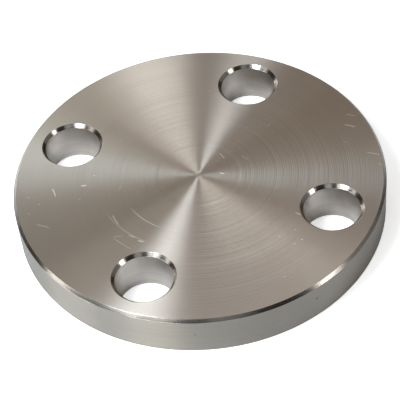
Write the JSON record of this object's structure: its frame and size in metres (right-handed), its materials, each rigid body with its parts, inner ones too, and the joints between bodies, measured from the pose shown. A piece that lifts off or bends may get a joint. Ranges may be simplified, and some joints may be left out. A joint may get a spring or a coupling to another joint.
{
  "type": "blind flange",
  "caption": "Flat-faced round blind flange, a turned steel plate with a finely ringed joint face and chamfered bolt holes, that closes a pipe end.",
  "frame": {"origin": "centre of the back face, which the flange rests on", "axes": "+Z along the flange's axis, from the back face towards the ringed joint face; the bolt holes straddle the X and Y axes at 45 degrees"},
  "size_m": [0.08, 0.08, 0.0094],
  "materials": {
    "turned_steel": "bright steel, face-turned in fine concentric rings, with polished chamfers"
  },
  "bodies": {
    "root": {"blind_flange": "turned_steel"}
  },
  "joints": []
}
